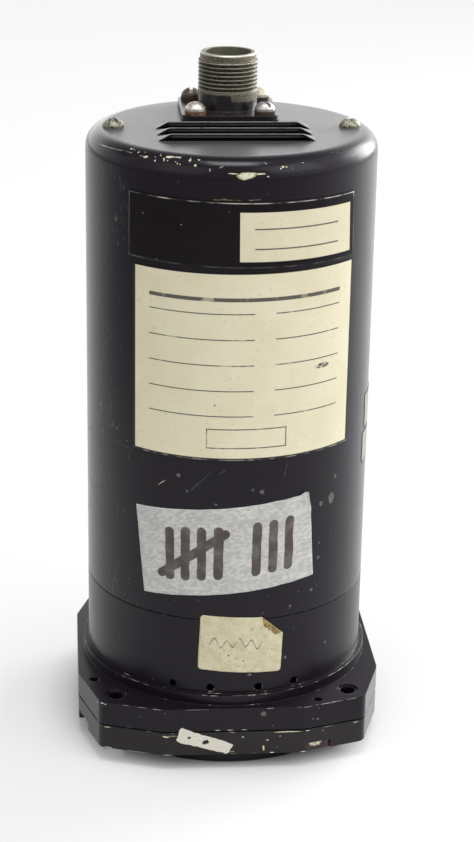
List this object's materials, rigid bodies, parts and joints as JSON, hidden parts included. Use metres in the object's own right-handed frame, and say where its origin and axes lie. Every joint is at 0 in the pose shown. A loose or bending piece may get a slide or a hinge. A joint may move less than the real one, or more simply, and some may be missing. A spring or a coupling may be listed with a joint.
{
  "type": "turn and slip indicator",
  "caption": "Electric turn and slip indicator: a round black can on an angular panel flange, with a gyro, needle drive and ball tube inside and a threaded connector at the rear.",
  "frame": {"origin": "on the case axis, at the foot of the glass ring that the instrument stands on", "axes": "+Z along the case axis towards the rear connector, +Y the dial's upward direction, so the dial looks along -Z"},
  "size_m": [0.0826, 0.0826, 0.1826],
  "materials": {
    "paint_black": "worn semi-gloss black paint over a pale primer",
    "window_glass": "clear flat glass",
    "tube_glass": "clear bent glass tube",
    "rubber_black": "matt black rubber",
    "lacquered_steel": "steel screws under red-brown locking varnish",
    "nickel_screws": "dull plated screws with a greenish film",
    "worn_screws": "mixed old screws, some rusty",
    "rusty_steel": "rusty spring washers",
    "olive_metal": "dirty olive-grey plated metal",
    "foil_black": "black printed foil with a thin pale outline",
    "foil_cream": "aged cream printed foil with ruled lines",
    "alloy": "machined aluminium",
    "steel": "ground steel",
    "brass": "machined brass",
    "copper": "varnished copper winding",
    "magnet_black": "dark cast magnet",
    "dial_black": "matt black dial with pale marks",
    "needle_white": "matt white paint",
    "ball_black": "polished black ball",
    "phenolic": "brown laminated board",
    "carbon": "carbon brush",
    "capacitor_can": "plain drawn can",
    "lead_cream": "cream lead insulation",
    "lead_red": "red flexible lead insulation"
  },
  "bodies": {
    "case": {"glass_ring": "paint_black", "bezel_plate": "paint_black", "cover_glass": "window_glass", "glass_seal": "rubber_black", "bezel_screws": "lacquered_steel", "joint_gasket": "rubber_black", "front_housing": "paint_black", "case_can": "paint_black", "cover_screws": "nickel_screws", "cover_posts": "alloy", "upper_foil": "foil_black", "lower_foil": "foil_cream", "connector_shell": "olive_metal", "connector_insert": "rubber_black", "connector_pins": "brass", "connector_gasket": "rubber_black", "connector_screws": "worn_screws", "connector_washers": "rusty_steel", "connector_nuts": "steel", "dial_plate": "dial_black", "dial_screws": "brass", "inclinometer_tube": "tube_glass", "inclinometer_plugs": "rubber_black", "inclinometer_clips": "brass", "index_wires": "ball_black", "front_plate": "alloy", "rear_plate": "alloy", "frame_pillars": "steel", "frame_screws": "steel", "gimbal_bushes": "brass", "arbor_bush": "brass", "arbor_bridge": "brass", "gimbal_stops": "steel", "damper_cylinder": "brass", "spring_anchor": "steel", "centring_spring": "steel", "filter_capacitor": "capacitor_can", "filter_choke": "copper", "terminal_board": "phenolic", "terminal_posts": "brass", "lead_wires": "lead_cream", "flex_leads": "lead_red"},
    "gimbal": {"gimbal_frame": "alloy", "gimbal_pivots": "steel", "gear_sector": "brass", "damper_arm": "brass", "field_magnet": "magnet_black", "brush_holder": "phenolic", "brushes": "carbon", "rotor_bearings": "steel"},
    "rotor": {"rotor_flywheel": "brass", "rotor_shaft": "steel", "armature": "copper", "commutator": "copper"},
    "needle": {"needle_arbor": "steel", "turn_needle": "needle_white"},
    "ball": {"slip_ball": "ball_black"},
    "damper": {"damper_piston": "steel"}
  },
  "joints": [
    {"name": "gimbal_precess", "type": "hinge", "parent": "case", "child": "gimbal", "pos_m": [0, 0, 0.0571], "axis": [0, 0, 1], "range_deg": [-18, 18], "stiffness_Nm_per_rad": 0.02, "deforming": ["centring_spring", "flex_leads"]},
    {"name": "rotor_spin", "type": "hinge", "parent": "gimbal", "child": "rotor", "pos_m": [0, 0, 0.0571], "axis": [1, 0, 0], "continuous": true},
    {"name": "needle_turn", "type": "hinge", "parent": "case", "child": "needle", "pos_m": [0, -0.0105, 0.0179], "axis": [0, 0, 1], "range_deg": [-46, 46]},
    {"name": "ball_roll", "type": "hinge", "parent": "case", "child": "ball", "pos_m": [0, 0.031, 0.0132], "axis": [0, 0, 1], "range_deg": [-17, 17]},
    {"name": "damper_slide", "type": "slide", "parent": "case", "child": "damper", "axis": [1, 0, 0], "range_m": [-0.0045, 0.0045]}
  ],
  "couplings": [
    {"joint": "needle_turn", "follows": "gimbal_precess", "ratio": -2.5},
    {"joint": "damper_slide", "follows": "gimbal_precess", "m_per_rad": -0.014}
  ]
}
